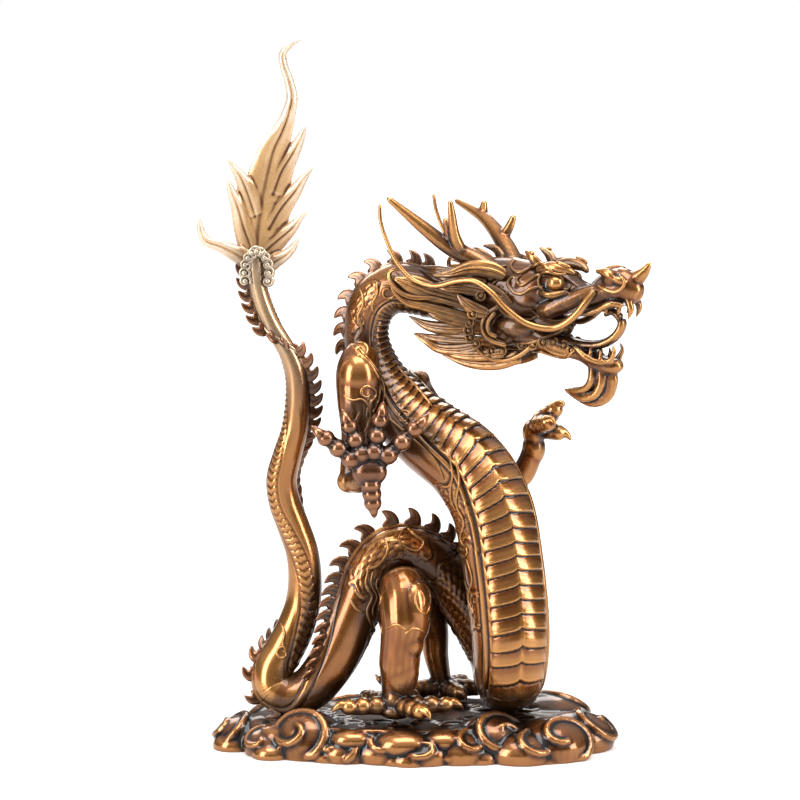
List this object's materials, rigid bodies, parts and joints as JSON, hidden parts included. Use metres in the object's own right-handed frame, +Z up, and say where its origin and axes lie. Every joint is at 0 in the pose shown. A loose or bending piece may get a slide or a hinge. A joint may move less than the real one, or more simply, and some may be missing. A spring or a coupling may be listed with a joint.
{
  "type": "dragon sculpture",
  "caption": "Cast bronze dragon with a raised whiskered head, antlers and a flame-tipped tail, coiled upright on a low oval plinth of curling clouds.",
  "frame": {"origin": "centre of the plinth's flat underside", "axes": "+Z up; +X along the plinth, the way the dragon looks; +Y across the plinth, away from the side that it turns its head to"},
  "size_m": [0.3733, 0.1648, 0.6002],
  "materials": {
    "figure_bronze": "polished bronze with a dark antique patina in the hollows",
    "plinth_bronze": "polished bronze with a dark antique patina in the hollows"
  },
  "bodies": {
    "root": {"dragon": "figure_bronze", "cloud_plinth": "plinth_bronze"}
  },
  "joints": []
}
